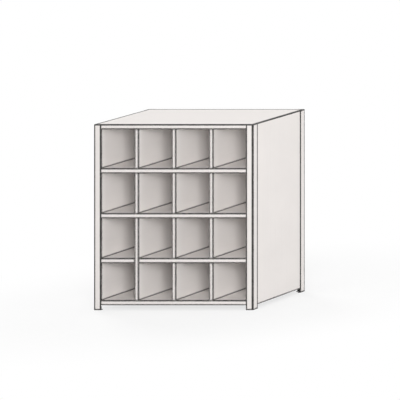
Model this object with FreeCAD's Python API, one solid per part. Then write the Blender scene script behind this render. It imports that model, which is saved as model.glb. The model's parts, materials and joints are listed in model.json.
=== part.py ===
"""Pigeonhole mail sorter: a bolted sheet-steel rack, four columns wide and four rows high.

Four angle posts stand on plastic feet and carry folded shelves on studs that are welded inside
the posts, so that no fastener shows outside. Two side panels and a back panel close the rack.
Every pigeonhole wall is one folded sheet: its front edge stands on the shelf below, its tabs drop
through slots in that shelf, and its raised top edge enters slots in the folded returns of the
shelf above. One divider is two rows tall, and the shelf that it crosses is made in two parts,
bolted to each other through it. The outer columns have liners, flush with the posts.

Frame: X to the right, Y to the back, Z up. The origin is on the floor, at the middle of the
footprint, and the pigeonholes open towards -Y. All sizes are in millimetres.
"""

import FreeCAD, Part

import math
import os

Vector = FreeCAD.Vector

# Overall sizes. The rows between the top and the bottom one share the height that is left.
WIDTH = 900.0  # over the posts
DEPTH = 450.0  # over the posts
HEIGHT = 1050.0
COLUMNS = 4
ROWS = 4
TOP_OPENING = 221.0  # clear height of the top row
BOTTOM_OPENING = 210.0
GROUND_GAP = 27.0  # floor to the lowest shelf edge

# Angle posts.
POST_LEG = 40.0
POST_GAUGE = 2.0
POST_BEND = 1.5  # inside bend radius

# Plastic feet, pushed into the foot of each post.
FOOT_SOLE = 3.0
FOOT_WALL = 4.0
FOOT_TOP_GAP = 2.0  # below the panels' edges
FOOT_SOLE_WIDTH = 16.0  # of the sole along each leg of the post

# Folded shelves.
SHELF_GAUGE = 0.8
SHELF_BEND = 1.0
LIP_HEIGHT = 28.0
LIP_RETURN = 12.0
SIDE_FLANGE_RISE = 2.0  # of the side flange's edge, above the lips' edges
CORNER_GAP = 0.4  # flat left beside each bend at the corners

# Outer panels. The side panel's one fold is tight too.
PANEL_GAUGE = 0.8
PANEL_DROP = 4.0  # of the panels' bottom edges, below the lowest shelf
PANEL_HEM = 10.0  # of the side panel's bottom edge, turned in under the lowest shelf
BACK_GAUGE = 0.8
POST_BEND_GAP = 0.5  # sheet edges to the posts' inside bends

# Dividers and liners, folded tightly, so that their folds are sharp inside.
WALL_GAUGE = 0.8
WALL_EDGE = 23.0  # width of the folded front and rear edges
DIVIDER_RETURN = 12.0  # of the dividers' edges; the liners have none
WALL_SETBACK = 1.5  # behind the shelf edge's face
TONGUE_SHOULDER = 1.0  # step from the folded edge to the raised top edge
TAB_WIDTH = 30.0
TAB_DEPTH = 3.0  # below the underside of the shelf
TAB_INSET = 60.0  # from the wall's front and rear faces
SLIDE_GAP = 0.3  # walls to the shelf above, and in every slot

# The shelf that is made in two parts, and the wall whose divider is two rows tall and parts it.
SPLIT_SHELF = f"shelf_{ROWS - 1}"
SPLIT_WALL = "divider_1"

# Studs in the posts, and the bolts through the tall divider. Their threads are left out, and a
# bar with flat sides stands for each shank. Sizes across are from flat to flat.
FLATS = 6
BOLT_ACROSS = 6.0
BOLT_CLEARANCE = 0.6
BOLT_HEAD_HEIGHT = 4.0
BOLT_END = 1.5  # stands out of its nut
NUT_ACROSS = 10.0
NUT_HEIGHT = 5.0
NUT_CLEARANCE = 0.1
STUD_INSET = 16.0  # from the post's outer corner
JOINT_BOLT_INSET = 71.0  # from the tall divider's front and rear faces

# Hexagon-head screws of the back panel, in every second shelf.
SCREW_ACROSS = 4.0
SCREW_CLEARANCE = 0.2
SCREW_HEAD_ACROSS = 8.0
SCREW_HEAD_HEIGHT = 1.8
SCREW_LENGTH = 8.0

# Two holes in the back panel for fixing the rack to a wall.
ANCHOR_R = 3.5
ANCHOR_DROP = 22.0  # below the top shelf's lip

AXES = {
    "X": (Vector(1, 0, 0), lambda u, v, w: Vector(w, u, v)),
    "Y": (Vector(0, 1, 0), lambda u, v, w: Vector(u, w, v)),
    "Z": (Vector(0, 0, 1), lambda u, v, w: Vector(u, v, w)),
}

# Shelves from the top down, and walls from the left, by number.
SHELF_NAMES = ["top_shelf"] + [f"shelf_{n}" for n in range(1, ROWS)] + ["bottom_shelf"]
WALL_NAMES = ["liner_left"] + [f"divider_{n}" for n in range(1, COLUMNS)] + ["liner_right"]
SPLIT_LEVEL = SHELF_NAMES.index(SPLIT_SHELF)
TALL_WALL = WALL_NAMES.index(SPLIT_WALL)
DIVIDERS = range(1, COLUMNS)

# Heights of the shelf tops, the top shelf first. Bolts and screws pass the middle of each edge.
BOTTOM_DECK = GROUND_GAP + LIP_HEIGHT
SECOND_DECK = HEIGHT - LIP_HEIGHT - TOP_OPENING
LAST_DECK = BOTTOM_DECK + BOTTOM_OPENING + LIP_HEIGHT
ROW_PITCH = (SECOND_DECK - LAST_DECK) / (ROWS - 2)
DECK_TOPS = [HEIGHT] + [SECOND_DECK - n * ROW_PITCH for n in range(ROWS - 1)] + [BOTTOM_DECK]
BOLT_DROP = LIP_HEIGHT / 2

# Faces and heights that the pieces share.
PANEL_BOTTOM = GROUND_GAP - PANEL_DROP
POST_INSIDE_X = WIDTH / 2 - POST_GAUGE
BEND_EDGE_X = POST_INSIDE_X - POST_BEND - POST_BEND_GAP
BEND_EDGE_Y = DEPTH / 2 - POST_GAUGE - POST_BEND - POST_BEND_GAP
SHELF_END = POST_INSIDE_X - PANEL_GAUGE
SHELF_FRONT = -DEPTH / 2 + POST_GAUGE
SHELF_REAR = DEPTH / 2 - POST_GAUGE - BACK_GAUGE
WALL_FRONT = SHELF_FRONT + WALL_SETBACK
WALL_REAR = SHELF_REAR - WALL_SETBACK
TONGUE_INSET = WALL_GAUGE + TONGUE_SHOULDER

# Plain face of each pigeonhole wall, and the side to which its edges fold. The left liner and the
# dividers fold to the left, and the right liner is the left one turned round.
COLUMN_WIDTH = (WIDTH - 2 * POST_LEG - (COLUMNS - 1) * WALL_EDGE) / COLUMNS
WALLS = [
    (-WIDTH / 2 + POST_LEG + n * (COLUMN_WIDTH + WALL_EDGE), -1)
    for n in range(COLUMNS)
]
WALLS.append((WIDTH / 2 - POST_LEG, 1))
COLUMN_MIDDLES = [x + COLUMN_WIDTH / 2 for x, _ in WALLS[:COLUMNS]]
PARTING = WALLS[TALL_WALL][0]

BOLT_HOLE = BOLT_ACROSS + BOLT_CLEARANCE
SCREW_HOLE = SCREW_ACROSS + SCREW_CLEARANCE


# Sheet-metal helpers.


def direction(start, end):
    """Unit vector from one point to another."""
    return (end - start).normalize()


def offset_path(path, distance):
    """An open path moved to its left by a distance, with mitred corners."""
    moved = []
    for n, point in enumerate(path):
        last = len(path) - 1
        before = direction(path[max(n - 1, 0)], path[max(n, 1)])
        after = direction(path[min(n, last - 1)], path[min(n + 1, last)])
        left_before = Vector(-before.y, before.x, 0)
        left_after = Vector(-after.y, after.x, 0)
        stretch = distance / (1 + left_before.dot(left_after))
        moved.append(point + (left_before + left_after) * stretch)
    return moved


def rounded_wire(corners, radii, place):
    """Closed wire through the corners, each rounded to its own radius, mapped by place."""
    ends = []
    arcs = []
    for n, corner in enumerate(corners):
        before = direction(corners[n - 1], corner)
        after = direction(corner, corners[(n + 1) % len(corners)])
        half_turn = before.getAngle(after) / 2
        reach = radii[n] * math.tan(half_turn)
        start = corner - before * reach
        end = corner + after * reach
        ends.append((place(start), place(end)))
        if radii[n] == 0:
            arcs.append(None)
            continue
        to_centre = (after - before).normalize()
        middle = corner + to_centre * radii[n] * (1 / math.cos(half_turn) - 1)
        arcs.append(Part.Arc(place(start), place(middle), place(end)).toShape())
    edges = []
    for n, (start, _) in enumerate(ends):
        edges.append(Part.LineSegment(ends[n - 1][1], start).toShape())
        if arcs[n] is not None:
            edges.append(arcs[n])
    return Part.Wire(edges)


def prism(corners, radii, axis, start, stop):
    """Solid of a closed outline with rounded corners, carried along an axis."""
    along, place = AXES[axis]
    wire = rounded_wire(corners, radii, lambda p: place(p.x, p.y, start))
    return Part.Face(wire).extrude(along * (stop - start))


def folded(path, gauge, bend, metal, axis, start, stop):
    """Folded sheet. The path is one face, and the metal is to its left (1) or its right (-1)."""
    path = [Vector(u, v, 0) for u, v in path]
    other = offset_path(path, metal * gauge)
    outer_radii = [0.0] * len(path)
    inner_radii = [0.0] * len(path)
    for n in range(1, len(path) - 1):
        turn = (path[n] - path[n - 1]).cross(path[n + 1] - path[n]).z * metal
        outer_radii[n] = bend + gauge if turn > 0 else bend
        inner_radii[n] = bend if turn > 0 else bend + gauge
    return prism(path + other[::-1], outer_radii + inner_radii[::-1], axis, start, stop)


def block(x, y, z):
    """Box between two limits along each axis, in either order."""
    low = Vector(min(x), min(y), min(z))
    high = Vector(max(x), max(y), max(z))
    size = high - low
    return Part.makeBox(size.x, size.y, size.z, low)


def bar(across, axis, centre, ends):
    """Bar or hole with flat sides along an axis. The centre gives the other two coordinates."""
    corner_r = across / 2 / math.cos(math.pi / FLATS)
    corners = []
    for n in range(FLATS):
        angle = (2 * n + 1) * math.pi / FLATS
        corners.append(Vector(*centre, 0) + Vector(math.cos(angle), math.sin(angle), 0) * corner_r)
    return prism(corners, [0.0] * FLATS, axis, *sorted(ends))


def rod(radius, axis, centre, ends):
    """Round bar or hole along an axis. The centre gives the other two coordinates."""
    along, place = AXES[axis]
    start, stop = sorted(ends)
    return Part.makeCylinder(radius, stop - start, place(*centre, start), along)


# Posts and feet.


def post(side, end):
    """Angle post at a corner. Side is -1 left or 1 right, and end is -1 front or 1 rear."""
    x, y = side * WIDTH / 2, end * DEPTH / 2
    path = [(x - side * POST_LEG, y), (x, y), (x, y - end * POST_LEG)]
    return folded(path, POST_GAUGE, POST_BEND, -side * end, "Z", FOOT_SOLE, HEIGHT)


def angle_block(inset, thickness, bottom, top):
    """L-shaped block along both legs of the front left post, from inset behind its outer faces."""
    x, y = inset - WIDTH / 2, inset - DEPTH / 2
    reach = POST_LEG - inset
    corners = [
        Vector(x, y, 0),
        Vector(x + reach, y, 0),
        Vector(x + reach, y + thickness, 0),
        Vector(x + thickness, y + thickness, 0),
        Vector(x + thickness, y + reach, 0),
        Vector(x, y + reach, 0),
    ]
    radii = [POST_BEND + POST_GAUGE - inset, 0.0, 0.0, 0.0, 0.0, 0.0]
    return prism(corners, radii, "Z", bottom, top)


def foot(side, end):
    """Plastic foot: a sole under the post's end, and a wall inside the angle."""
    sole = angle_block(0.0, FOOT_SOLE_WIDTH, 0.0, FOOT_SOLE)
    wall = angle_block(POST_GAUGE, FOOT_WALL, FOOT_SOLE, PANEL_BOTTOM - FOOT_TOP_GAP)
    shape = sole.fuse(wall).removeSplitter()
    if side > 0:
        shape = shape.mirror(Vector(0, 0, 0), Vector(1, 0, 0))
    if end > 0:
        shape = shape.mirror(Vector(0, 0, 0), Vector(0, 1, 0))
    return shape


# Shelves.


def shelf(level, left=-SHELF_END, right=SHELF_END):
    """Folded shelf between two upright faces, with its slots and holes."""
    top = DECK_TOPS[level]
    bottom = top - LIP_HEIGHT
    relief = SHELF_BEND + SHELF_GAUGE + CORNER_GAP
    tray = [
        (SHELF_FRONT + LIP_RETURN, bottom),
        (SHELF_FRONT, bottom),
        (SHELF_FRONT, top),
        (SHELF_REAR, top),
        (SHELF_REAR, bottom),
        (SHELF_REAR - LIP_RETURN, bottom),
    ]
    body = folded(tray, SHELF_GAUGE, SHELF_BEND, -1, "X", left + relief, right - relief)
    lips = ((SHELF_FRONT, SHELF_FRONT + SHELF_GAUGE), (SHELF_REAR - SHELF_GAUGE, SHELF_REAR))
    ends = []
    for face, inward in ((left, 1), (right, -1)):
        flange_z = bottom + SIDE_FLANGE_RISE
        flange = [(face, flange_z), (face, top), (face + inward * relief, top)]
        span = (SHELF_FRONT + relief, SHELF_REAR - relief)
        ends.append(folded(flange, SHELF_GAUGE, SHELF_BEND, -inward, "Y", *span))
        lip_end = max(-BEND_EDGE_X, min(face + inward * SHELF_GAUGE, BEND_EDGE_X))
        corner_x = (lip_end, face + inward * relief)
        ends.extend(block(corner_x, lip_y, (bottom + relief, top - relief)) for lip_y in lips)
    cuts = tongue_slots(level) + tab_slots(level) + shelf_holes(level)
    if right == PARTING - WALL_GAUGE:
        cuts += divider_notches(top)
    return body.fuse(ends).removeSplitter().cut(cuts)


def slot_width(wall):
    """X limits of every slot that a wall passes."""
    x, fold = WALLS[wall]
    return (x - fold * SLIDE_GAP, x + fold * (WALL_GAUGE + SLIDE_GAP))


def tongue_slots(level):
    """Slots in a shelf's returns for the walls that reach up into it."""
    bottom = DECK_TOPS[level] - LIP_HEIGHT
    slot_z = (bottom, bottom + SHELF_GAUGE)
    front_y = (WALL_FRONT + TONGUE_INSET - SLIDE_GAP, SHELF_FRONT + LIP_RETURN)
    rear_y = (SHELF_REAR - LIP_RETURN, WALL_REAR - TONGUE_INSET + SLIDE_GAP)
    walls = [wall for _, wall, upper, _ in WALL_PIECES if upper == level]
    return [block(slot_width(wall), y, slot_z) for wall in walls for y in (front_y, rear_y)]


def tab_slots(level):
    """Slots in a shelf's deck for the tabs of the walls that stand on it."""
    deck_z = (DECK_TOPS[level] - SHELF_GAUGE, DECK_TOPS[level])
    walls = [wall for _, wall, _, lower in WALL_PIECES if lower == level]
    return [
        block(slot_width(wall), (start - SLIDE_GAP, stop + SLIDE_GAP), deck_z)
        for wall in walls
        for start, stop in tab_places()
    ]


def shelf_holes(level):
    """Holes for the studs, bolts and screws that pass through a shelf."""
    top = DECK_TOPS[level]
    rear_y = (SHELF_REAR - SHELF_GAUGE, SHELF_REAR)
    holes = [bar(SCREW_HOLE, "Y", centre, rear_y) for centre in screw_places()]
    for face, inward in ((-SHELF_END, 1), (SHELF_END, -1)):
        flange_x = (face, face + inward * SHELF_GAUGE)
        holes += [bar(BOLT_HOLE, "X", (y, top - BOLT_DROP), flange_x) for y in stud_places()]
    if level == SPLIT_LEVEL:
        flanges_x = (PARTING - WALL_GAUGE - SHELF_GAUGE, PARTING + SHELF_GAUGE)
        holes += [bar(BOLT_HOLE, "X", centre, flanges_x) for centre in joint_bolt_places()]
    return holes


def divider_notches(top):
    """Notches in the left part of the split shelf, round the folded edges of the tall divider."""
    x = (PARTING - WALL_EDGE - SLIDE_GAP, PARTING)
    z = (top - LIP_HEIGHT, top)
    reach = DIVIDER_RETURN + SLIDE_GAP
    return [
        block(x, (SHELF_FRONT, WALL_FRONT + reach), z),
        block(x, (WALL_REAR - reach, SHELF_REAR), z),
    ]


# Pigeonhole walls.


def wall_pieces():
    """Name, wall, upper shelf and lower shelf of every divider and liner."""
    tall_rows = (SPLIT_LEVEL, SPLIT_LEVEL + 1)
    pieces = [("tall_divider", TALL_WALL, SPLIT_LEVEL - 1, SPLIT_LEVEL + 1)]
    for row in range(1, ROWS + 1):
        for wall, name in enumerate(WALL_NAMES):
            if wall != TALL_WALL or row not in tall_rows:
                pieces.append((f"{name}_row_{row}", wall, row - 1, row))
    return pieces


WALL_PIECES = wall_pieces()


def tab_places():
    """Y limits of each tab under a wall."""
    front, rear = WALL_FRONT + TAB_INSET, WALL_REAR - TAB_INSET
    return [(front, front + TAB_WIDTH), (rear - TAB_WIDTH, rear)]


def wall_sheet(wall, upper, lower):
    """Folded wall that stands on one shelf and reaches up into another."""
    x, fold = WALLS[wall]
    bottom = DECK_TOPS[lower]
    edge_top = DECK_TOPS[upper] - LIP_HEIGHT - SLIDE_GAP
    tongue_top = DECK_TOPS[upper] - SHELF_GAUGE - TAB_DEPTH - SLIDE_GAP
    edge = x + fold * WALL_EDGE
    section = [(edge, WALL_FRONT), (x, WALL_FRONT), (x, WALL_REAR), (edge, WALL_REAR)]
    if wall in DIVIDERS:
        section.insert(0, (edge, WALL_FRONT + DIVIDER_RETURN))
        section.append((edge, WALL_REAR - DIVIDER_RETURN))
    sheet = folded(section, WALL_GAUGE, 0.0, -fold, "Z", bottom, edge_top)

    web_x = (x, x + fold * WALL_GAUGE)
    tongue_y = (WALL_FRONT + TONGUE_INSET, WALL_REAR - TONGUE_INSET)
    edges = [block(web_x, tongue_y, (edge_top - WALL_GAUGE, tongue_top))]
    tab_z = (bottom - SHELF_GAUGE - TAB_DEPTH, bottom + WALL_GAUGE)
    edges += [block(web_x, tab_y, tab_z) for tab_y in tab_places()]
    sheet = sheet.fuse(edges).removeSplitter()
    if lower - upper > 1:
        return sheet.cut([bar(BOLT_HOLE, "X", centre, web_x) for centre in joint_bolt_places()])
    return sheet


# Outer panels.


def side_panel(side):
    """Flat panel inside the posts' side legs, with its bottom edge turned in."""
    x = side * POST_INSIDE_X
    path = [(x - side * PANEL_HEM, PANEL_BOTTOM), (x, PANEL_BOTTOM), (x, HEIGHT)]
    panel = folded(path, PANEL_GAUGE, 0.0, side, "Y", -BEND_EDGE_Y, BEND_EDGE_Y)
    sheet_x = (x, x - side * PANEL_GAUGE)
    holes = [
        bar(BOLT_HOLE, "X", (y, top - BOLT_DROP), sheet_x)
        for top in DECK_TOPS
        for y in stud_places()
    ]
    return panel.cut(holes)


def back_panel():
    """Flat sheet between the shelves' rear lips and the rear posts."""
    sheet_y = (SHELF_REAR, SHELF_REAR + BACK_GAUGE)
    panel = block((-BEND_EDGE_X, BEND_EDGE_X), sheet_y, (PANEL_BOTTOM, HEIGHT))
    holes = [bar(SCREW_HOLE, "Y", centre, sheet_y) for centre in screw_places()]
    holes += [rod(ANCHOR_R, "Y", centre, sheet_y) for centre in anchor_places()]
    return panel.cut(holes)


# Fasteners, and where they go.


def stud_places():
    """Y of each stud in a side, front and rear."""
    return [STUD_INSET - DEPTH / 2, DEPTH / 2 - STUD_INSET]


def joint_bolt_places():
    """Y and Z of each bolt through the tall divider."""
    z = DECK_TOPS[SPLIT_LEVEL] - BOLT_DROP
    return [(WALL_FRONT + JOINT_BOLT_INSET, z), (WALL_REAR - JOINT_BOLT_INSET, z)]


def screw_places():
    """X and Z of each screw through the back panel, behind the outer columns."""
    columns = [COLUMN_MIDDLES[0], COLUMN_MIDDLES[-1]]
    return [(x, top - BOLT_DROP) for top in DECK_TOPS[::2] for x in columns]


def anchor_places():
    """X and Z of each wall-fixing hole, in the columns beside the outer ones."""
    z = HEIGHT - LIP_HEIGHT - ANCHOR_DROP
    return [(COLUMN_MIDDLES[1], z), (COLUMN_MIDDLES[-2], z)]


def stud(side, centre):
    """Stud welded to the inside of a post's side leg, through the panel, the shelf and its nut."""
    length = PANEL_GAUGE + SHELF_GAUGE + NUT_HEIGHT + BOLT_END
    x = side * POST_INSIDE_X
    return bar(BOLT_ACROSS, "X", centre, (x, x - side * length))


def nut(seat_x, toward, centre):
    """Hexagon nut on a seat, standing out along X."""
    ends = (seat_x, seat_x + toward * NUT_HEIGHT)
    bore = bar(BOLT_ACROSS + NUT_CLEARANCE, "X", centre, ends)
    return bar(NUT_ACROSS, "X", centre, ends).cut(bore)


def joint_bolt(centre):
    """Hexagon-head bolt through both flanges of the split shelf and the tall divider."""
    head_x = PARTING + SHELF_GAUGE
    length = 2 * SHELF_GAUGE + WALL_GAUGE + NUT_HEIGHT + BOLT_END
    head = bar(NUT_ACROSS, "X", centre, (head_x, head_x + BOLT_HEAD_HEIGHT))
    return head.fuse(bar(BOLT_ACROSS, "X", centre, (head_x, head_x - length)))


def screw(centre):
    """Hexagon-head sheet-metal screw through the back panel and a shelf's rear lip."""
    seat_y = SHELF_REAR + BACK_GAUGE
    head = bar(SCREW_HEAD_ACROSS, "Y", centre, (seat_y, seat_y + SCREW_HEAD_HEIGHT))
    return head.fuse(bar(SCREW_ACROSS, "Y", centre, (seat_y - SCREW_LENGTH, seat_y)))


def fasteners():
    """Each kind of fastener by name, as a group of separate solids."""
    corners = [
        (side, (y, top - BOLT_DROP))
        for side in (-1, 1)
        for top in DECK_TOPS
        for y in stud_places()
    ]
    joint_nut_x = PARTING - WALL_GAUGE - SHELF_GAUGE
    groups = {
        "post_studs": [stud(*corner) for corner in corners],
        "stud_nuts": [nut(side * (SHELF_END - SHELF_GAUGE), -side, at) for side, at in corners],
        "joint_bolts": [joint_bolt(centre) for centre in joint_bolt_places()],
        "joint_nuts": [nut(joint_nut_x, -1, centre) for centre in joint_bolt_places()],
        "back_panel_screws": [screw(centre) for centre in screw_places()],
    }
    return {name: Part.makeCompound(solids) for name, solids in groups.items()}


# The rack: one entry for each separate piece, or for each group of identical fasteners.


def shelves():
    """Every shelf by name. The split shelf has two parts, which meet the tall divider."""
    pieces = {}
    for level, name in enumerate(SHELF_NAMES):
        if name == SPLIT_SHELF:
            pieces[f"{name}_left"] = shelf(level, right=PARTING - WALL_GAUGE)
            pieces[f"{name}_right"] = shelf(level, left=PARTING)
        else:
            pieces[name] = shelf(level)
    return pieces


def rack():
    """Every piece of the rack by name."""
    pieces = shelves()
    for end, end_name in ((-1, "front"), (1, "rear")):
        for side, side_name in ((-1, "left"), (1, "right")):
            pieces[f"post_{end_name}_{side_name}"] = post(side, end)
            pieces[f"foot_{end_name}_{side_name}"] = foot(side, end)
    pieces["side_panel_left"] = side_panel(-1)
    pieces["side_panel_right"] = side_panel(1)
    pieces["back_panel"] = back_panel()
    for name, wall, upper, lower in WALL_PIECES:
        pieces[name] = wall_sheet(wall, upper, lower)
    pieces.update(fasteners())
    return pieces


def main():
    """Writes one STEP file for each piece."""
    os.makedirs("parts", exist_ok=True)
    for name, shape in rack().items():
        shape.exportStep(os.path.join("parts", f"{name}.step"))


main()
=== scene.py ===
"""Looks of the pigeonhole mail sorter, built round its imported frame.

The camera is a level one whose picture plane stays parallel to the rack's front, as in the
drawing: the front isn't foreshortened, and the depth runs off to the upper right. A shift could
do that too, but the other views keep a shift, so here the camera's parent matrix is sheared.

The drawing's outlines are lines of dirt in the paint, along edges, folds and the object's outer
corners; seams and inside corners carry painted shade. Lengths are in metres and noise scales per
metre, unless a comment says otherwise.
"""

import json
import math

import bmesh
import bpy
from mathutils import Matrix, Vector


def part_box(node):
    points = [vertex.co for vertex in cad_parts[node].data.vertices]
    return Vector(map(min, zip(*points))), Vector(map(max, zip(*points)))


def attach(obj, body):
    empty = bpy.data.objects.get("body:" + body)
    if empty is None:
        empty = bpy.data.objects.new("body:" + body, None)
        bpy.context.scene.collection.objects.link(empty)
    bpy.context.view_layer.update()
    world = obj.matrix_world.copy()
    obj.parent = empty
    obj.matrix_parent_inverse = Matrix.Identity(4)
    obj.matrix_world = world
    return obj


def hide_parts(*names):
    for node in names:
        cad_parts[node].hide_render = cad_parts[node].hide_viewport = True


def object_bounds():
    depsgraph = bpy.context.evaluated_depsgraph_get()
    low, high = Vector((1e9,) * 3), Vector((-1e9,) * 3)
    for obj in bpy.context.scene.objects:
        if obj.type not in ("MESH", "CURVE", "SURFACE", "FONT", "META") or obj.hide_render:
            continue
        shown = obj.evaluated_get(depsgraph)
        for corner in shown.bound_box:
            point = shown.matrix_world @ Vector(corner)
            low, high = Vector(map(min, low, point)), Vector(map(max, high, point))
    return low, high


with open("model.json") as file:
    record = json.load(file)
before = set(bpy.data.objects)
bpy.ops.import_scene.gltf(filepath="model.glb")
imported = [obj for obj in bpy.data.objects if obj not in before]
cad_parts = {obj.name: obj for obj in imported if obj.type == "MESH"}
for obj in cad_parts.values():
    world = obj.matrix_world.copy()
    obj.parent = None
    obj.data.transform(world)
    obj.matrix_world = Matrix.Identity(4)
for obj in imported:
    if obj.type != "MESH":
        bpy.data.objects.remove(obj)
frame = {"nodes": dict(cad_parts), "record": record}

CAD_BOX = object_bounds()
scene = bpy.context.scene


def link(obj):
    scene.collection.objects.link(obj)
    return obj


# ---------------------------------------------------------------- camera

PICTURE = 400.0  # pixels
SENSOR = 36.0  # mm
FOCAL = 3900.0  # of the picture plane, in pixels for one metre of depth
SLANT = Vector((0.679, -1.0, 0.2163))  # from the rack towards the camera
DISTANCE = 22.275  # along Y
TARGET = Vector((-0.0024, 0.0, 0.5742))
CLIP = (1.0, 400.0)


def make_camera():
    data = bpy.data.cameras.new("camera")
    camera = link(bpy.data.objects.new("camera", data))
    rig = link(bpy.data.objects.new("camera_rig", None))
    data.sensor_width = SENSOR
    data.lens = FOCAL * SLANT.length * SENSOR / PICTURE
    data.clip_start, data.clip_end = CLIP
    camera.parent = rig
    shear = Matrix(((1, 0, SLANT.x, 0), (0, 0, SLANT.y, 0), (0, 1, SLANT.z, 0), (0, 0, 0, 1)))
    shear.translation = TARGET + SLANT * DISTANCE
    camera.matrix_parent_inverse = shear
    scene.camera = camera


# ---------------------------------------------------------------- node helpers
#
# They take the tree's Nodes as n. Those that work something out return the result's socket.


class Nodes:
    """Short calls for building a node tree."""

    def __init__(self, owner):
        self.tree = owner.node_tree
        self.tree.nodes.clear()

    def add(self, kind, **settings):
        """A setting that starts with in_ is the value of an input."""
        node = self.tree.nodes.new(kind)
        for key, value in settings.items():
            if key.startswith("in_"):
                node.inputs[key[3:].replace("_", " ")].default_value = value
            else:
                setattr(node, key, value)
        return node

    def join(self, source, target):
        self.tree.links.new(source, target)


def new_material(name):
    material = bpy.data.materials.new(name)
    material.use_nodes = True
    return material, Nodes(material)


def principled(n, **sockets):
    """Principled shader, joined to the material's output. Returns its node."""
    out = n.add("ShaderNodeOutputMaterial")
    bsdf = n.add("ShaderNodeBsdfPrincipled")
    for key, value in sockets.items():
        bsdf.inputs[key].default_value = value
    n.join(bsdf.outputs["BSDF"], out.inputs["Surface"])
    return bsdf


def object_place(n):
    return n.add("ShaderNodeTexCoord").outputs["Object"]


def ramp(n, source, from_min, from_max, to_min, to_max, **settings):
    """Maps one range to another."""
    node = n.add("ShaderNodeMapRange", **settings)
    for key, value in (
        ("From Min", from_min),
        ("From Max", from_max),
        ("To Min", to_min),
        ("To Max", to_max),
    ):
        node.inputs[key].default_value = value
    n.join(source, node.inputs["Value"])
    return node.outputs["Result"]


def math_node(n, operation, first, second, clamp=False):
    """Both inputs may be a socket or a number."""
    node = n.add("ShaderNodeMath", operation=operation, use_clamp=clamp)
    for index, value in enumerate((first, second)):
        if isinstance(value, (int, float)):
            node.inputs[index].default_value = value
        else:
            n.join(value, node.inputs[index])
    return node.outputs["Value"]


def chain(n, operation, first, *others):
    for other in others:
        first = math_node(n, operation, first, other)
    return first


def noise(n, place, scale, detail=2.0, roughness=0.5):
    node = n.add("ShaderNodeTexNoise", in_Scale=scale, in_Detail=detail, in_Roughness=roughness)
    n.join(place, node.inputs["Vector"])
    return node.outputs["Fac"]


def spread(n, source, low, high):
    """Maps the range that noise mostly keeps to."""
    return ramp(n, source, 0.3, 0.7, low, high)


def streaks(n, place, stretch, scale):
    """Noise drawn out along the axes where the stretch is small, as rubbing leaves it."""
    drawn = n.add("ShaderNodeMapping", in_Scale=stretch)
    n.join(place, drawn.inputs["Vector"])
    return noise(n, drawn.outputs["Vector"], scale, 3.0, 0.6)


def mixed(n, factor, first, second, blend="MIX"):
    """Colour mix. Every input may be a socket or a value."""
    node = n.add("ShaderNodeMix", data_type="RGBA", blend_type=blend)
    for key, value in (("Factor", factor), ("A", first), ("B", second)):
        if isinstance(value, (int, float, tuple)):
            node.inputs[key].default_value = value
        else:
            n.join(value, node.inputs[key])
    return node.outputs["Result"]


def bumped(n, bsdf, height, strength, distance):
    bump = n.add("ShaderNodeBump", in_Strength=strength, in_Distance=distance)
    n.join(height, bump.inputs["Height"])
    n.join(bump.outputs["Normal"], bsdf.inputs["Normal"])


def normal(n):
    return n.add("ShaderNodeNewGeometry").outputs["Normal"]


def split(n, vector):
    """The three sockets of a vector."""
    axes = n.add("ShaderNodeSeparateXYZ")
    n.join(vector, axes.inputs["Vector"])
    return axes.outputs["X"], axes.outputs["Y"], axes.outputs["Z"]


# ---------------------------------------------------------------- masks
#
# 1 where the paint is darkened, by lines of dirt or by painted shade, 0 on open sheet. The
# normals are compared by the cosine between them.

MASK_SAMPLES = 8
STRAIGHT = 0.995
EDGE_COSINE = 0.965
BEND_COSINE = 0.95
FACING_COSINES = (0.9, 0.95)
SOLID_SHARE = 0.7  # of a line's width
FAR_OFF = 1.0


def openness(n, reach):
    """The other way round: 1 on open surface, less in seams and corners. It drives the painted
    shade.
    """
    near = n.add("ShaderNodeAmbientOcclusion", samples=MASK_SAMPLES, in_Distance=reach)
    return near.outputs["AO"]


def edge_mask(n, radius):
    """Sharp edges and inside corners. At inside corners, the darkening it drives is painted
    shade.
    """
    bevel = n.add("ShaderNodeBevel", samples=MASK_SAMPLES, in_Radius=radius)
    dot = n.add("ShaderNodeVectorMath", operation="DOT_PRODUCT")
    n.join(bevel.outputs["Normal"], dot.inputs[0])
    n.join(normal(n), dot.inputs[1])
    return ramp(n, dot.outputs["Value"], STRAIGHT, EDGE_COSINE, 0.0, 1.0)


def bend_mask(n):
    """The rounded surface of a fold, whose normal lies along no axis."""
    size = n.add("ShaderNodeVectorMath", operation="ABSOLUTE")
    n.join(normal(n), size.inputs[0])
    most = chain(n, "MAXIMUM", *split(n, size.outputs["Vector"]))
    return ramp(n, most, STRAIGHT, BEND_COSINE, 0.0, 1.0)


def off_plane(n, value, plane):
    """How far a coordinate, taken without its sign, is from a plane."""
    size = math_node(n, "ABSOLUTE", value, 0.0)
    return math_node(n, "ABSOLUTE", math_node(n, "SUBTRACT", size, plane), 0.0)


def line(n, distance, reach):
    return ramp(n, distance, SOLID_SHARE * reach, reach, 1.0, 0.0)


def corner_mask(n, place, pairs, reach):
    """The lines where two planes meet. A plane is an axis and a distance from 0."""
    axes = split(n, place)
    nearest = FAR_OFF
    for pair in pairs:
        first, second = (off_plane(n, axes[axis], plane) for axis, plane in pair)
        nearest = math_node(n, "MINIMUM", math_node(n, "MAXIMUM", first, second), nearest)
    return line(n, nearest, reach)


def band_mask(n, place, facing, planes, reach):
    """A band along the outer planes, on surface that faces one way."""
    dot = n.add("ShaderNodeVectorMath", operation="DOT_PRODUCT")
    n.join(normal(n), dot.inputs[0])
    dot.inputs[1].default_value = facing
    axes = split(n, place)
    nearest = FAR_OFF
    for axis, plane in planes:
        nearest = math_node(n, "MINIMUM", off_plane(n, axes[axis], plane), nearest)
    turned = ramp(n, dot.outputs["Value"], *FACING_COSINES, 0.0, 1.0)
    return math_node(n, "MULTIPLY", line(n, nearest, reach), turned)


# ---------------------------------------------------------------- materials

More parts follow.
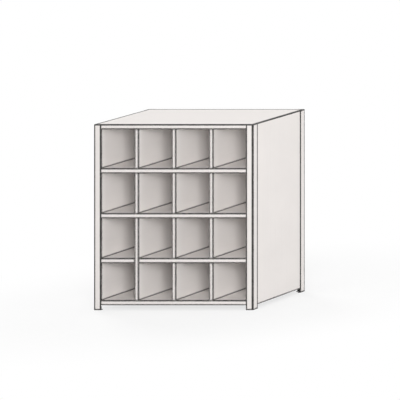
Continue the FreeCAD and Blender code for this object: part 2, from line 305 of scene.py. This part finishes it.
WARM_GREY = (0.823, 0.784, 0.761, 1.0)
# near-black of the dirt lines and rubbing, and of the painted shade in seams and corners
DIRT_AND_SHADE = (0.018, 0.017, 0.016, 1.0)
ZINC_GREY = (0.68, 0.69, 0.70, 1.0)
FOOT_GREY = (0.055, 0.055, 0.059, 1.0)

# painted shade in seams and inside corners, from ambient occlusion
SEAM_REACH = 0.01
SEAM_OPENNESS = (0.95, 0.55)  # where the painted shade starts, and where it is full
SEAM_DARK = 0.9
EDGE_RADIUS = 0.01
EDGE_DARK = 0.99
LINE_REACH = 0.0075
FRONT, BACK = CAD_BOX[0][1], CAD_BOX[1][1]
SIDE, TOP = (0, CAD_BOX[1][0]), (2, CAD_BOX[1][2])
FACE = (1, BACK)
OUTER_CORNERS = ((SIDE, FACE), (SIDE, TOP), (FACE, TOP))
POST_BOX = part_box("post_rear_right")
LEG_ENDS = ((FACE, (0, POST_BOX[0][0])), (SIDE, (1, POST_BOX[0][1])))
UPWARDS, FORWARDS = (0.0, 0.0, 1.0), (0.0, -1.0, 0.0)
BANDS = (
    (UPWARDS, (SIDE, FACE), 0.018),  # on the decks
    (FORWARDS, (SIDE,), 0.0095),  # on the front posts
)

CLOUD_SCALE = 5.0
PATCH_SCALE = 60.0
PEEL_SCALE = 900.0
ALONG_Y = (1.0, 0.03, 1.0)
ALONG_Z = (1.0, 1.0, 0.03)
RUB_RANGE = (0.54, 0.68)  # of the noise
RUB_AT_BACK = 0.35
RUB_DARK = 0.022
RUB_POLISH = 0.12

# height of the foot's lower darkening, and the scale of its noise
DARKER_BELOW = 0.004
DARKENING_SCALE = 80.0
FOOT_EDGE = 0.002
GRAIN_SCALE = 2600.0
CRYSTAL_SCALE = 1400.0
MARK_SCALE = 500.0
# reach of the painted shade in the zinc's thread roots and corners
ROOT_REACH = 0.002


def paint(name, rubbed_along, rub_scale, corners=OUTER_CORNERS):
    """Satin powder coat: orange peel, faint cloudiness, rubbed streaks, dark folds and edges,
    and painted shade in seams.
    """
    material, n = new_material(name)
    bsdf = principled(n, **{"Specular IOR Level": 0.25})
    place = object_place(n)

    cloud = noise(n, place, CLOUD_SCALE, 4.0, 0.55)
    base = mixed(n, 1.0, WARM_GREY, spread(n, cloud, 0.97, 1.01), "MULTIPLY")
    rub = ramp(n, streaks(n, place, rubbed_along, rub_scale), *RUB_RANGE, 0.0, 1.0)
    less = ramp(n, split(n, place)[1], FRONT, BACK, 1.0, RUB_AT_BACK)
    rub = math_node(n, "MULTIPLY", rub, less)
    base = mixed(n, math_node(n, "MULTIPLY", rub, RUB_DARK), base, DIRT_AND_SHADE)

    # painted shade: ambient occlusion darkens the paint in seams and inside corners
    painted_seam_shade = ramp(n, openness(n, SEAM_REACH), *SEAM_OPENNESS, 0.0, SEAM_DARK)
    # dirt lines along edges, folds and outer corners; in inside corners the bevel mask adds
    # painted shade
    edge = chain(
        n,
        "MAXIMUM",
        edge_mask(n, EDGE_RADIUS),
        bend_mask(n),
        corner_mask(n, place, corners, LINE_REACH),
        *(band_mask(n, place, *band) for band in BANDS),
    )
    patchy = ramp(n, noise(n, place, PATCH_SCALE, 3.0), 0.35, 0.65, 0.95 * EDGE_DARK, EDGE_DARK)
    # the darker of the painted shade in seams and the dirt lines along edges
    dark = math_node(n, "MAXIMUM", painted_seam_shade, math_node(n, "MULTIPLY", edge, patchy))
    n.join(mixed(n, dark, base, DIRT_AND_SHADE), bsdf.inputs["Base Color"])

    polish = math_node(n, "MULTIPLY", rub, RUB_POLISH)
    rough = math_node(n, "SUBTRACT", spread(n, cloud, 0.42, 0.55), polish)
    n.join(rough, bsdf.inputs["Roughness"])
    bumped(n, bsdf, noise(n, place, PEEL_SCALE), 0.25, 0.0002)
    return material


def foot_plastic(name):
    """Moulded plastic with a fine spark-eroded grain, darker all over and most at its lower
    edge, and darker along edges, with painted shade in inside corners.
    """
    material, n = new_material(name)
    bsdf = principled(n, **{"Specular IOR Level": 0.3})
    place = object_place(n)

    # darker all over, most within the lowest few millimetres
    lower_darkening = ramp(n, split(n, place)[2], 0.0, DARKER_BELOW, 1.0, 0.5)
    lower_darkening = math_node(n, "MULTIPLY", lower_darkening, spread(n, noise(n, place, DARKENING_SCALE), 0.8, 1.0))
    # darker along edges; at inside corners this is painted shade
    edge = math_node(n, "MULTIPLY", edge_mask(n, FOOT_EDGE), 0.5)
    dark = math_node(n, "MAXIMUM", lower_darkening, edge)
    n.join(mixed(n, dark, FOOT_GREY, DIRT_AND_SHADE), bsdf.inputs["Base Color"])
    grain = noise(n, place, GRAIN_SCALE, 3.0, 0.6)
    n.join(spread(n, grain, 0.55, 0.7), bsdf.inputs["Roughness"])
    bumped(n, bsdf, grain, 0.5, 0.0001)
    return material


def zinc(name):
    """Bright zinc plate: crystals, handling marks, and painted shade in thread roots and
    corners.
    """
    material, n = new_material(name)
    bsdf = principled(n, **{"Metallic": 1.0})
    place = object_place(n)

    crystal = n.add("ShaderNodeTexVoronoi", in_Scale=CRYSTAL_SCALE)
    n.join(place, crystal.inputs["Vector"])
    tones = n.add("ShaderNodeSeparateColor")
    n.join(crystal.outputs["Color"], tones.inputs["Color"])
    # painted shade: ambient occlusion darkens thread roots and corners, then the crystals vary
    # the tone
    painted_shade_and_crystals = ramp(n, openness(n, ROOT_REACH), 0.3, 0.8, 0.35, 1.0)
    painted_shade_and_crystals = math_node(n, "MULTIPLY", painted_shade_and_crystals, ramp(n, tones.outputs["Red"], 0.0, 1.0, 0.88, 1.04))
    n.join(mixed(n, 1.0, ZINC_GREY, painted_shade_and_crystals, "MULTIPLY"), bsdf.inputs["Base Color"])
    marks = noise(n, place, MARK_SCALE, 4.0, 0.65)
    n.join(spread(n, marks, 0.28, 0.5), bsdf.inputs["Roughness"])
    bumped(n, bsdf, marks, 0.3, 0.00005)
    return material


MATERIALS = {
    "post_paint": paint("post_paint", ALONG_Z, 260.0, OUTER_CORNERS + LEG_ENDS),
    "shelf_paint": paint("shelf_paint", ALONG_Y, 220.0),
    "divider_paint": paint("divider_paint", ALONG_Y, 180.0),
    "panel_paint": paint("panel_paint", ALONG_Z, 70.0),
    "zinc": zinc("zinc"),
    "foot_plastic": foot_plastic("foot_plastic"),
}
SLOT_OF = {part["node"]: part["material_slot"] for part in frame["record"]["subparts"]}
for name, obj in frame["nodes"].items():
    obj.data.materials.clear()
    obj.data.materials.append(MATERIALS[SLOT_OF[name]])


# ---------------------------------------------------------------- fasteners
#
# The frame's fasteners are bars with six flat sides. These have threads and chamfers, in the
# same places and as long and wide as the frame's own.

SIDES = 24
RING_STEPS = 5  # for each turn of a thread
BOLT_PITCH = 0.001
SCREW_PITCH = 0.0014
THREAD_DEPTH = 0.6  # of the pitch
RUNOUT = 0.0002  # plain length at a thread's ends
COLLAR = 0.0012  # plain length under a stud's weld
NUT_BORE = 0.00304  # radius
NUT_COUNTERSINK = 0.0004
BOLT_RADIUS = NUT_BORE - 0.00004
BOLT_HEAD = 0.004
FACE_SHARE = 0.95  # of a width across flats, to the round face
CHAMFER_SLOPE = math.tan(math.radians(30))
SCREW_SHANK = 0.002  # radius
SCREW_TIP = 0.0003  # radius
SCREW_HEAD = 0.0018
SCREW_FLANGE = 0.0006
SCREW_HEX = 0.0068  # across flats
HEX_FOOT = 0.0006  # by which the head widens towards the flange
POINT_TURNS = 1.5  # over which a screw's point tapers
POINT_LOSS = 0.6  # of the radius, at the point
SHARP = math.radians(28)
SAME_POINT = 1e-6
UP = Vector((0, 0, 1))


def solids_of(node):
    """Lowest and highest corner of each separate solid in a node of the frame."""
    bm = bmesh.new()
    bm.from_mesh(frame["nodes"][node].data)
    bmesh.ops.remove_doubles(bm, verts=bm.verts, dist=SAME_POINT)
    left = set(bm.verts)
    boxes = []
    while left:
        reached = [left.pop()]
        for vert in reached:
            fresh = {edge.other_vert(vert) for edge in vert.link_edges} & left
            left -= fresh
            reached.extend(fresh)
        axes = list(zip(*(vert.co for vert in reached)))
        boxes.append((Vector(map(min, axes)), Vector(map(max, axes))))
    bm.free()
    return sorted(boxes, key=lambda box: tuple(box[0]))


def face_radius(across):
    """Of the round face at the end of a chamfered hexagon."""
    return FACE_SHARE * across / 2


def circle(radius, height):
    """A ring gives the radius and the height at an angle round its axis."""
    return lambda angle: (radius, height)


def hexagon(across, height, inwards=0):
    """Ring by its width across flats, with its corners chamfered to the side inwards."""

    def ring(angle):
        off_flat = (angle + math.radians(30)) % math.radians(60) - math.radians(30)
        radius = across / 2 / math.cos(off_flat)
        chamfer = (radius - face_radius(across)) * CHAMFER_SLOPE
        return (radius, height + inwards * chamfer)

    return ring


def thread(radius, pitch, start, stop, loss=0.0):
    """Rings of a right-hand thread, with the share of the radius lost at its start."""
    steps = round((stop - start) / pitch * RING_STEPS)

    def cut(height):
        taper = max(0.0, 1 - (height - start) / (POINT_TURNS * pitch))

        def ring(angle):
            turned = (height / pitch - angle / (2 * math.pi)) % 1.0
            depth = THREAD_DEPTH * pitch * (1 - abs(2 * turned - 1))
            return ((radius - depth) * (1 - loss * taper), height)

        return ring

    return [cut(start + (stop - start) * step / steps) for step in range(steps + 1)]


def turn(bm, seat, along, rings, hollow=False):
    """Joins rings round an axis from a seat. A hollow piece joins its last ring to its first."""
    along = Vector(along)
    across = UP.cross(along)
    loops = []
    for ring in rings:
        loop = []
        for side in range(SIDES):
            angle = 2 * math.pi * side / SIDES
            radius, height = ring(angle)
            outwards = across * math.cos(angle) + UP * math.sin(angle)
            loop.append(bm.verts.new(seat + along * height + outwards * radius))
        loops.append(loop)
    pairs = list(zip(loops, loops[1:]))
    if hollow:
        pairs.append((loops[-1], loops[0]))
    else:
        bm.faces.new(loops[0])
        bm.faces.new(loops[-1])
    for low, high in pairs:
        for here in range(SIDES):
            there = (here + 1) % SIDES
            bm.faces.new((low[here], low[there], high[there], high[here]))


def build_stud(bm, low, high):
    """Threaded from its inner end to a plain collar at the post."""
    centre = (low + high) / 2
    side = math.copysign(1.0, centre.x)
    inner_x = min(low.x, high.x, key=abs)
    radius = (high.y - low.y) / 2
    length = high.x - low.x
    rings = [circle(radius - THREAD_DEPTH * BOLT_PITCH, 0.0)]
    rings += thread(radius, BOLT_PITCH, RUNOUT, length - COLLAR)
    rings += [circle(radius, length - COLLAR), circle(radius, length)]
    turn(bm, Vector((inner_x, centre.y, centre.z)), (side, 0, 0), rings)


def build_nut(bm, low, high):
    """Chamfered on both faces, with a countersunk bore."""
    centre = (low + high) / 2
    across = high.y - low.y
    height = high.x - low.x
    rings = [
        circle(NUT_BORE, NUT_COUNTERSINK),
        circle(NUT_BORE + NUT_COUNTERSINK, 0.0),
        circle(face_radius(across), 0.0),
        hexagon(across, 0.0, 1),
        hexagon(across, height, -1),
        circle(face_radius(across), height),
        circle(NUT_BORE + NUT_COUNTERSINK, height),
        circle(NUT_BORE, height - NUT_COUNTERSINK),
    ]
    turn(bm, Vector((low.x, centre.y, centre.z)), (1, 0, 0), rings, hollow=True)


def build_bolt(bm, low, high):
    """Hexagon-head bolt, threaded up to its head."""
    centre = (low + high) / 2
    across = high.y - low.y
    length = high.x - low.x
    under = length - BOLT_HEAD
    rings = [circle(BOLT_RADIUS - THREAD_DEPTH * BOLT_PITCH, 0.0)]
    rings += thread(BOLT_RADIUS, BOLT_PITCH, RUNOUT, under - RUNOUT)
    rings += [
        circle(BOLT_RADIUS, under),
        circle(face_radius(across), under),
        hexagon(across, under, 1),
        hexagon(across, length, -1),
        circle(face_radius(across), length),
    ]
    turn(bm, Vector((low.x, centre.y, centre.z)), (1, 0, 0), rings)


def build_screw(bm, low, high):
    """Sheet-metal screw with a flanged hexagon head."""
    centre = (low + high) / 2
    length = high.y - low.y
    under = length - SCREW_HEAD
    flange = (high.x - low.x) / 2
    rings = [circle(SCREW_TIP, 0.0)]
    rings += thread(SCREW_SHANK, SCREW_PITCH, RUNOUT, under - RUNOUT, POINT_LOSS)
    rings += [
        circle(SCREW_SHANK, under),
        circle(flange, under),
        circle(flange, under + SCREW_FLANGE / 2),
        circle(SCREW_HEX / 2 + HEX_FOOT, under + SCREW_FLANGE),
        hexagon(SCREW_HEX, under + SCREW_FLANGE),
        hexagon(SCREW_HEX, length, -1),
        circle(face_radius(SCREW_HEX), length),
    ]
    turn(bm, Vector((centre.x, low.y, centre.z)), (0, 1, 0), rings)


def make_fasteners(node, build):
    """One piece that stands for every solid of a node."""
    bm = bmesh.new()
    for low, high in solids_of(node):
        build(bm, low, high)
    bmesh.ops.recalc_face_normals(bm, faces=bm.faces)
    mesh = bpy.data.meshes.new(f"{node}_cut")
    bm.to_mesh(mesh)
    bm.free()
    mesh.polygons.foreach_set("use_smooth", [True] * len(mesh.polygons))
    mesh.set_sharp_from_angle(angle=SHARP)
    mesh.materials.append(MATERIALS[SLOT_OF[node]])
    piece = link(bpy.data.objects.new(f"{node}_cut", mesh))
    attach(piece, "root")
    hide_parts(node)


make_fasteners("post_studs", build_stud)
make_fasteners("stud_nuts", build_nut)
make_fasteners("joint_bolts", build_bolt)
make_fasteners("joint_nuts", build_nut)
make_fasteners("back_panel_screws", build_screw)


# ---------------------------------------------------------------- studio

WHITE = (1.0, 1.0, 1.0, 1.0)
FLOOR_SIZE = 60.0
FLOOR_SEEN = 0.78
FLOOR_BOUNCE = 0.3
WHITE_FROM, WHITE_TO = 0.5, 1.6  # distance over which the seen floor turns white
WHITE_NEAR = 0.72  # share of white close to the rack
WORLD_LEVEL = 0.14
LAMP_SIZE = 3.6
LAMP_DISTANCE = 11.0
LAMP_TARGET = Vector((0.0, 0.0, 0.5))
LAMPS = (  # name, direction from the rack, level
    ("camera_key", (0.78, -1.0, 0.28), 0.71),
    ("floor_key", (0.55, -1.0, 0.7), 0.19),
    ("front_key", (0.05, -1.0, 0.08), 0.08),
    ("right_key", (1.6, -0.1, 0.35), 0.27),
    ("top_light", (0.0, -0.05, 1.0), 0.4),
    ("back_light", (-1.3, 1.0, 0.45), 0.8),
)


def seen_ray(n):
    """1 for the camera and for reflections, 0 for the light that the object gets."""
    path = n.add("ShaderNodeLightPath")
    seen = path.outputs["Is Camera Ray"], path.outputs["Is Glossy Ray"]
    return math_node(n, "ADD", *seen, clamp=True)


def shown(n, factor, first, second, out):
    """Mixes two shaders and joins them to the output."""
    mix = n.add("ShaderNodeMixShader")
    n.join(factor, mix.inputs["Fac"])
    n.join(first, mix.inputs[1])
    n.join(second, mix.inputs[2])
    n.join(mix.outputs["Shader"], out.inputs["Surface"])


def make_floor():
    mesh = bpy.data.meshes.new("floor")
    s = FLOOR_SIZE
    mesh.from_pydata([(-s, -s, 0), (s, -s, 0), (s, s, 0), (-s, s, 0)], [], [(0, 1, 2, 3)])
    floor = link(bpy.data.objects.new("floor", mesh))
    material, n = new_material("floor")
    out = n.add("ShaderNodeOutputMaterial")
    matt = n.add("ShaderNodeBsdfDiffuse")
    n.join(ramp(n, seen_ray(n), 0.0, 1.0, FLOOR_BOUNCE, FLOOR_SEEN), matt.inputs["Color"])
    white = n.add("ShaderNodeEmission", in_Color=WHITE, in_Strength=1.0)
    reach = n.add("ShaderNodeVectorMath", operation="LENGTH")
    n.join(n.add("ShaderNodeNewGeometry").outputs["Position"], reach.inputs[0])
    far = ramp(
        n,
        reach.outputs["Value"],
        WHITE_FROM,
        WHITE_TO,
        WHITE_NEAR,
        1.0,
        interpolation_type="SMOOTHSTEP",
    )
    seen = math_node(n, "MULTIPLY", seen_ray(n), far)
    shown(n, seen, matt.outputs["BSDF"], white.outputs["Emission"], out)
    mesh.materials.append(material)


def make_world():
    world = bpy.data.worlds.new("world")
    world.use_nodes = True
    scene.world = world
    n = Nodes(world)
    out = n.add("ShaderNodeOutputWorld")
    light = n.add("ShaderNodeBackground", in_Color=WHITE, in_Strength=WORLD_LEVEL)
    white = n.add("ShaderNodeBackground", in_Color=WHITE, in_Strength=1.0)
    shown(n, seen_ray(n), light.outputs["Background"], white.outputs["Background"], out)


def make_lamp(name, direction, level):
    """Soft square lamp, not seen in reflections. Level is the share of its colour that a surface
    facing the lamp shows."""
    data = bpy.data.lights.new(name, "AREA")
    data.shape = "SQUARE"
    data.size = LAMP_SIZE
    data.energy = level * (math.pi * LAMP_DISTANCE) ** 2
    lamp = link(bpy.data.objects.new(name, data))
    away = Vector(direction).normalized()
    lamp.location = LAMP_TARGET + away * LAMP_DISTANCE
    lamp.rotation_euler = away.to_track_quat("Z", "Y").to_euler()
    lamp.visible_glossy = False


make_camera()
make_floor()
make_world()
for lamp in LAMPS:
    make_lamp(*lamp)

scene.view_settings.view_transform = "Standard"
